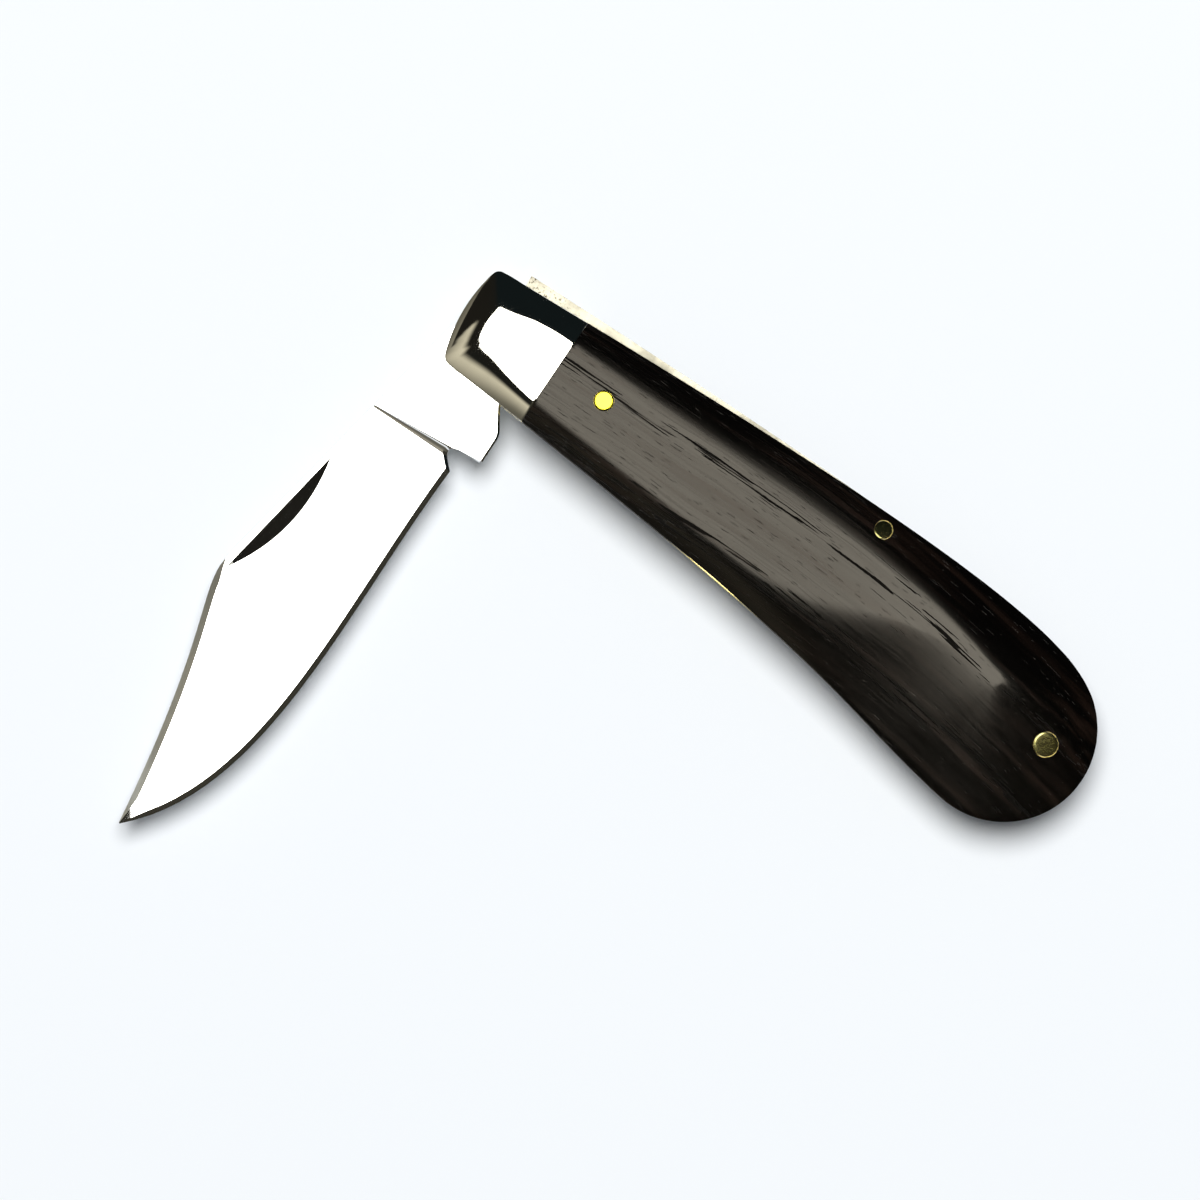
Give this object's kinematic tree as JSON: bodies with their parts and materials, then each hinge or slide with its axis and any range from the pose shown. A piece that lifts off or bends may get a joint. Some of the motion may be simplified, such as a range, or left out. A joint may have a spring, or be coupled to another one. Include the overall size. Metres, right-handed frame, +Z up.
{
  "type": "folding pocket knife",
  "caption": "Slip joint pocket knife with a clip point blade half open, metal bolsters and dark wood scales, lying on its side.",
  "frame": {"origin": "on the axis that the blade turns about, in the plane that the knife lies on: the flat end of the pivot pin on the rear side", "axes": "+X from the pivot towards the butt, +Y towards the back, where the spring is, +Z up from the rear side to the front side"},
  "size_m": [0.1044, 0.0837, 0.0105],
  "materials": {
    "blade_steel": "mirror polished",
    "spring_steel": "fine ground",
    "nickel_silver": "mirror polished",
    "brass": "polished",
    "dark_wood": "oiled, open pores"
  },
  "bodies": {
    "handle": {"backspring": "spring_steel", "rear_liner": "brass", "front_liner": "brass", "rear_bolster": "nickel_silver", "rear_scale": "dark_wood", "rear_scale_pin": "brass", "rear_bolster_rivet_back": "nickel_silver", "rear_bolster_rivet_belly": "nickel_silver", "front_bolster": "nickel_silver", "front_scale": "dark_wood", "front_scale_pin": "brass", "front_bolster_rivet_back": "nickel_silver", "front_bolster_rivet_belly": "nickel_silver", "pivot_pin": "nickel_silver", "centre_pin": "brass", "butt_pin": "brass"},
    "blade": {"blade": "blade_steel"}
  },
  "joints": [
    {"name": "blade_pivot", "type": "hinge", "parent": "handle", "child": "blade", "pos_m": [0, 0, 0.00525], "axis": [0, 0, 1], "range_deg": [-75.4, 92.8], "deforming": ["backspring"]}
  ]
}
